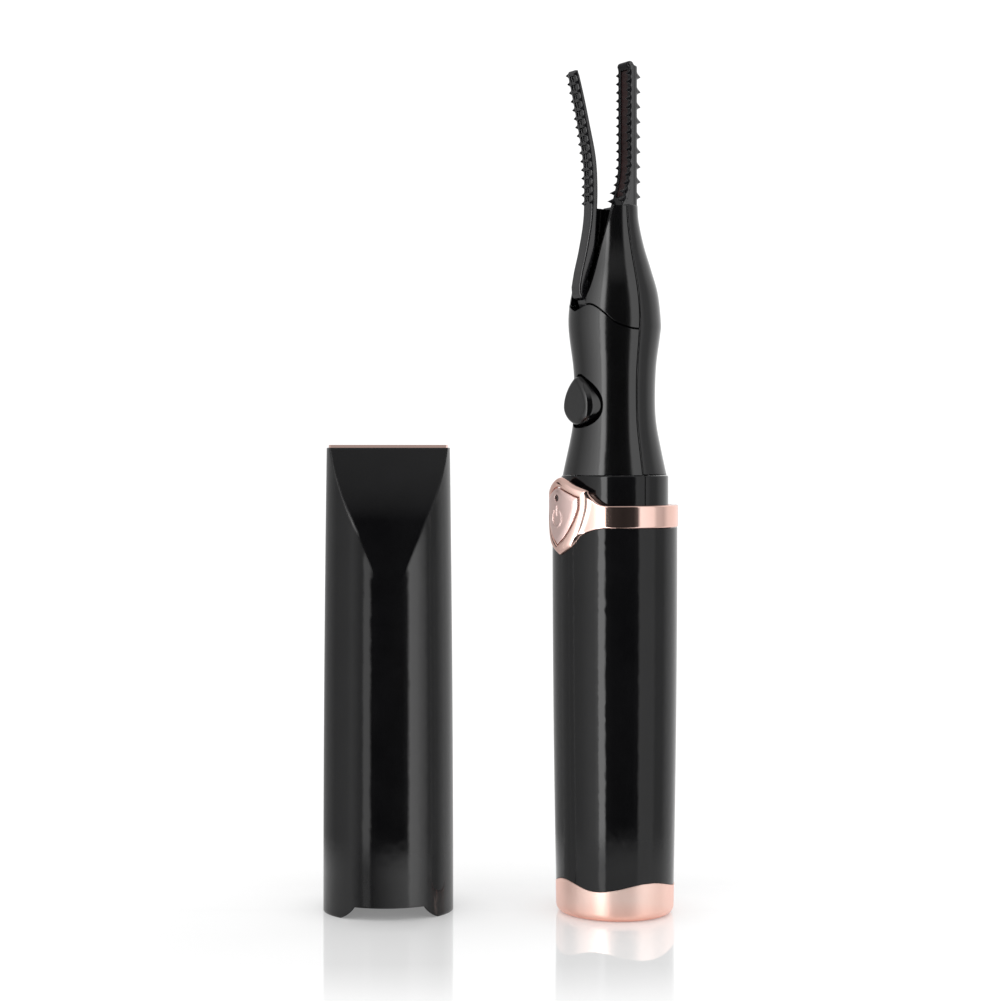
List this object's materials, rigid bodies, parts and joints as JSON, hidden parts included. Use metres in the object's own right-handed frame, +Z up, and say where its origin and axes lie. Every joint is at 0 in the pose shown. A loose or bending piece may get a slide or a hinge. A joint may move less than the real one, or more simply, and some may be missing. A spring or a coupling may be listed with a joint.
{
  "type": "eyelash curler",
  "caption": "Battery heated eyelash curler: oval handle with a shield power button, waisted neck, clip comb jaws and a scooped slide-on cap standing beside it.",
  "frame": {"origin": "centre of the base cap's flat underside", "axes": "+Z up along the handle, from the base to the comb tips; -Y out through the power button; +X to the right as seen from the button side"},
  "size_m": [0.0437, 0.0571, 0.1511],
  "materials": {
    "gloss_black_plastic": "high gloss",
    "comb_black_plastic": "satin gloss",
    "rose_gold_plating": "mirror plated",
    "rose_gold_satin": "satin plated",
    "heater_film": "satin",
    "inner_plastic": "moulded",
    "pin_steel": "bright",
    "board_green": "solder mask",
    "cell_wrap": "shrink sleeve",
    "wire_red": "insulation",
    "clear_pipe": "clear"
  },
  "bodies": {
    "handle": {"main_tube": "gloss_black_plastic", "base_cap": "rose_gold_plating", "ring_bezel": "rose_gold_plating", "neck_collar": "gloss_black_plastic", "neck_front_shell": "gloss_black_plastic", "neck_back_shell": "gloss_black_plastic", "upper_front_cover": "gloss_black_plastic", "neck_frame": "inner_plastic", "frame_screws": "pin_steel", "jaw_pivot_pin": "pin_steel", "rocker_pin": "pin_steel", "return_spring": "pin_steel", "heater_strip": "heater_film", "heater_element": "pin_steel", "heater_wires": "wire_red", "circuit_board": "board_green", "tact_switch": "inner_plastic", "indicator_led": "clear_pipe", "charge_chip": "inner_plastic", "usb_port": "pin_steel", "battery_cell": "cell_wrap", "battery_tabs": "pin_steel", "battery_carrier": "inner_plastic"},
    "jaw_arm": {"jaw_arm": "comb_black_plastic"},
    "rocker": {"rocker": "inner_plastic"},
    "clamp_button": {"clamp_button": "gloss_black_plastic"},
    "power_button": {"power_button": "rose_gold_satin", "switch_plunger": "inner_plastic", "light_pipe": "clear_pipe"},
    "cap": {"cap_shell": "gloss_black_plastic", "cap_liner": "inner_plastic", "cap_top_plate": "rose_gold_plating"}
  },
  "joints": [
    {"name": "jaw_close", "type": "hinge", "parent": "handle", "child": "jaw_arm", "pos_m": [0, -0.004, 0.104], "axis": [-1, 0, 0], "range_deg": [0, 10.8], "deforming": ["return_spring"]},
    {"name": "rocker_swing", "type": "hinge", "parent": "handle", "child": "rocker", "pos_m": [0, -0.00232, 0.0936], "axis": [1, 0, 0], "range_deg": [0, 12.13]},
    {"name": "clamp_press", "type": "slide", "parent": "handle", "child": "clamp_button", "axis": [0, 1, 0], "range_m": [0, 0.000765]},
    {"name": "power_press", "type": "slide", "parent": "handle", "child": "power_button", "axis": [0, 1, 0], "range_m": [0, 0.0003]},
    {"name": "cap_lift", "type": "slide", "parent": "handle", "child": "cap", "axis": [0, 0, 1], "range_m": [0, 0.0722]}
  ],
  "couplings": [
    {"joint": "rocker_swing", "follows": "jaw_close", "ratio": 1.1224},
    {"joint": "clamp_press", "follows": "jaw_close", "m_per_rad": 0.0040408}
  ]
}
